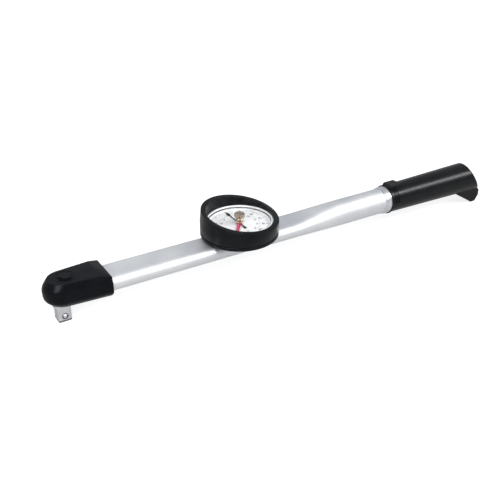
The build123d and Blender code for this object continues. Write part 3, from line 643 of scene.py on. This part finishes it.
def makeDialScale():
    look = dialScale
    printed = [tickRow(*row) for row in look["ticks"]]
    printed.append(trackRing())
    for count in range(look["last"] + 1):
        printed.append(number(look["unit"] * count, look["outerRow"], look["step"] * count))
        if count:
            printed.append(number(look["unit"] * count, look["innerRow"], -look["step"] * count))
    joinAll(printed)
    bpy.ops.object.mode_set(mode="EDIT")
    bpy.ops.mesh.select_all(action="SELECT")
    bpy.ops.mesh.remove_doubles(threshold=look["merge"] * mm)
    bpy.ops.mesh.normals_make_consistent(inside=False)
    finishPiece("dialScale", "zero_ring", "black_paint", look["smooth"], "scale_ink")


knob = {
    "vertices": 96,
    "flutes": 24,
    "fluteVertices": (0, 1),     # of the four that each flute has round the rim
    "fluteDepth": 0.93,      # the flutes are drawn in to this part of the radius
    "flutedHeights": (41.8, 44.7),
    "flutedBeyond": 5,       # only the rim, which stands out past this radius
    "merge": 0.02,
    "smooth": 28,
    "rings": [(1.6, 37.65), (3.6, 37.65), (3.9, 37.9), (3.9, 39.6), (3.5, 40.2), (3.5, 40.9),
              (4.9, 41.5), (5.35, 41.9), (5.35, 44.6), (5.0, 45.2), (4.2, 45.55), (2.6, 45.5),
              (2.2, 45.25), (0.6, 45.15), (0.01, 45.15)],
}


def makeKnob():
    look = knob
    drawRings(look["rings"], dialCentre, look["vertices"])
    bpy.ops.mesh.select_all(action="SELECT")
    bpy.ops.mesh.remove_doubles(threshold=look["merge"] * mm)
    pick("EDGE", lambda edge: len(edge.link_faces) == 1)
    bpy.ops.mesh.edge_face_add()
    low, high = look["flutedHeights"]
    perFlute = look["vertices"] // look["flutes"]

    def inFlute(vertex):
        offset = vertex.co.xy - Vector(dialCentre)
        if offset.length <= look["flutedBeyond"] * mm or not low * mm < vertex.co.z < high * mm:
            return False
        step = round(math.atan2(offset.y, offset.x) / (2 * math.pi) * look["vertices"])
        return step % perFlute in look["fluteVertices"]

    pick("VERT", inFlute)
    pivot = (*dialCentre, low * mm)
    depth = look["fluteDepth"]
    bpy.ops.transform.resize(value=(depth, depth, 1), center_override=pivot)
    bpy.ops.mesh.select_all(action="SELECT")
    bpy.ops.mesh.normals_make_consistent(inside=False)
    piece = finishPiece("flutedKnob", "memory_hand", "bronzed_knob", look["smooth"])
    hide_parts("reset_knob")


flange = {
    # a pale slope round the dial, inside the seal
    "rings": [(31.65, 33.63), (31.65, 35.5), (31.2, 35.5), (30.9, 33.63)],
    "vertices": 96,
    "smooth": 30,
}


def makeDialFlange():
    drawRings(flange["rings"], dialCentre, flange["vertices"])
    closeLoop()
    finishPiece("dialFlange", "zero_ring", "dial_white", flange["smooth"])


# a dark ring round the detent ball, painted shade for the shadow at its hole's edge
detentShadeRing = {
    "ball": (0, -6.35, -9.0),
    "rings": [(2.46, -0.1), (2.5, 0.12), (2.8, 0.2), (3.1, 0.12), (3.15, -0.1)],
    "vertices": 40,
    "smooth": 50,
}


def makeDetentSeat():
    # a thin raised ring round the ball's hole, its dark steel a painted shade standing in for the
    # shadow at the hole's edge
    look = detentShadeRing
    drawRings(look["rings"], (0, 0), look["vertices"])
    closeLoop()
    bpy.ops.object.mode_set(mode="OBJECT")
    seat = bpy.context.object
    seat.rotation_euler = (math.radians(90), 0, 0)
    seat.location = tuple(value * mm for value in look["ball"])
    finishPiece("detentShadeRing", "head", "plain_steel", look["smooth"], "painted_shade_steel")


boot = {
    "nose": 16.6,
    "half": 20.4,
    "vertices": 64,
    "back": 44.2,
    # each level is a height, how far the nose reaches and half of the width
    "levels": [(3.6, 10.0, 14.2), (9.6, 16.0, 20.4), (20.5, 16.6, 20.4), (28.5, 11.2, 16.8)],
    "insideBack": 41.0,
    "insideLevels": [(6.9, 9.4, 13.2), (9.6, 13.4, 17.8), (20.5, 14.0, 17.8), (26.1, 9.2, 14.6)],
    "fallStart": 34.2,
    "fall": (2.86, 11),      # the roof drops this much over this length
    "rounds": {"shoulder": (3.4, 4), "waist": (2.6, 3), "roof": (1.3, 3), "foot": (1.0, 3)},
    "roofBand": 4,           # sharp edges in the top of the shell, down to here, are the roof's
    "sharp": 20,
    "tube": (14.6, 7.72, 9.9, 15.5, 46.0),       # height, radius, half of its flat, from, to
    "holes": [(0, 0, 9.4, 2.0, 8.0), (24, 0, 6.4, 5.2, 7.8), (35, -6, 2.95, 3.0, 5.4),
              (35, 6, 2.95, 3.0, 5.4), (6, 0, 4.42, 25.0, 30.0)],        # x, y, radius, from, to
    "bossRing": [(9.6, 28.2), (11.0, 28.2), (11.0, 28.6), (10.6, 28.85), (10.0, 28.85),
                 (9.6, 28.6)],
    "bossX": 6,
    "bossVertices": 72,
    "cutVertices": 64,
    "smooth": 34,
}


def bootForm(levels, back):
    # an outline round the drive, a circle with its back half drawn out straight, that is
    # raised level by level
    look = boot
    base = levels[0][0] * mm
    radius = look["nose"] * mm
    spot = (0, 0, base)
    bpy.ops.mesh.primitive_circle_add(vertices=look["vertices"], radius=radius, location=spot)
    bpy.ops.object.transform_apply(location=True)
    bpy.ops.object.mode_set(mode="EDIT")
    pick("VERT", lambda vertex: vertex.co.x > near)
    wider = look["half"] / look["nose"]
    bpy.ops.transform.resize(value=(0, wider, 1), center_override=spot)
    bpy.ops.transform.translate(value=(back * mm, 0, 0))
    bpy.ops.mesh.select_all(action="SELECT")
    length = back + look["nose"]
    shares = [((back + nose) / length, half / look["half"]) for _, nose, half in levels]
    bpy.ops.transform.resize(value=(*shares[0], 1), center_override=(back * mm, 0, base))
    bpy.ops.mesh.edge_face_add()
    for index in range(1, len(levels)):
        height = levels[index][0]
        lift = (0, 0, (height - levels[index - 1][0]) * mm)
        bpy.ops.mesh.extrude_region_move(TRANSFORM_OT_translate={"value": lift})
        scale = [new / old for new, old in zip(shares[index], shares[index - 1])]
        bpy.ops.transform.resize(value=(*scale, 1), center_override=(back * mm, 0, height * mm))
    bpy.ops.mesh.select_all(action="SELECT")
    bpy.ops.mesh.normals_make_consistent(inside=False)


def cutAway(body):
    # the object made last is taken out of the body
    cutter = bpy.context.object
    bpy.ops.object.select_all(action="DESELECT")
    body.select_set(True)
    bpy.context.view_layer.objects.active = body
    bpy.ops.object.modifier_add(type="BOOLEAN")
    modifier = body.modifiers[-1]
    modifier.operation = "DIFFERENCE"
    modifier.solver = "EXACT"
    modifier.object = cutter
    bpy.ops.object.modifier_apply(modifier=modifier.name)
    bpy.data.objects.remove(cutter)


def rod(x, y, radius, low, high):
    spot = (x * mm, y * mm, (low + high) / 2 * mm)
    bpy.ops.mesh.primitive_cylinder_add(vertices=boot["cutVertices"], radius=radius * mm,
                                        depth=(high - low) * mm, location=spot)
    return bpy.context.object


def makeBoot():
    look = boot
    bootForm(look["levels"], look["back"])
    drop, run = look["fall"]
    start = (look["fallStart"] * mm, 0, look["levels"][-1][0] * mm)
    bpy.ops.mesh.select_all(action="SELECT")
    slope = Vector((drop, 0, run)).normalized()
    bpy.ops.mesh.bisect(plane_co=start, plane_no=slope, clear_outer=True, use_fill=True)
    rounds = look["rounds"]
    low, waist, shoulder, high = (level[0] * mm for level in look["levels"])

    def at(edge, height):
        # round the shell at this height, but not across its back
        behind = all(abs(vertex.co.x - look["back"] * mm) < near for vertex in edge.verts)
        return not behind and all(abs(vertex.co.z - height) < near for vertex in edge.verts)

    def onRoof(edge):
        sharp = edge.calc_face_angle(0) > math.radians(look["sharp"])
        return sharp and middle(edge).z > high - look["roofBand"] * mm

    roundOff(lambda edge: at(edge, shoulder), *rounds["shoulder"])
    roundOff(lambda edge: at(edge, waist), *rounds["waist"])
    roundOff(onRoof, *rounds["roof"])
    roundOff(lambda edge: at(edge, low), *rounds["foot"])
    bpy.ops.object.mode_set(mode="OBJECT")
    shell = bpy.context.object
    bootForm(look["insideLevels"], look["insideBack"])
    bpy.ops.object.mode_set(mode="OBJECT")
    cutAway(shell)
    # the slot for the flattened tube: a rod laid down and drawn out to both sides
    height, radius, flat, front, end = look["tube"]
    slot = rod(0, 0, radius, 0, end - front)
    slot.location = ((front + end) / 2 * mm, 0, height * mm)
    slot.rotation_euler = (0, math.pi / 2, 0)
    bpy.ops.object.transform_apply(location=True, rotation=True)
    bpy.ops.object.mode_set(mode="EDIT")
    for side in (-1, 1):
        pick("VERT", lambda vertex: vertex.co.y * side > near)
        bpy.ops.transform.translate(value=(0, side * flat * mm, 0))
    bpy.ops.object.mode_set(mode="OBJECT")
    cutAway(shell)
    joinAll([rod(*hole) for hole in look["holes"]])
    cutAway(shell)
    drawRings(look["bossRing"], (look["bossX"] * mm, 0), look["bossVertices"])
    closeLoop()
    bpy.ops.object.mode_set(mode="OBJECT")
    joinAll([shell, bpy.context.object])
    piece = finishPiece("headBoot", "frame", "black_moulding", look["smooth"])
    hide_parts("head_cover")


bpy.context.scene.view_settings.view_transform = "Standard"
bpy.ops.object.select_all(action="DESELECT")
materials = {name: makeFinish(name, look) for name, look in finishes.items()}
camera()
studio()
floor()
dressNodes()
makeHood()
makeDialScale()
makeKnob()
makeDialFlange()
makeDetentSeat()
makeBoot()
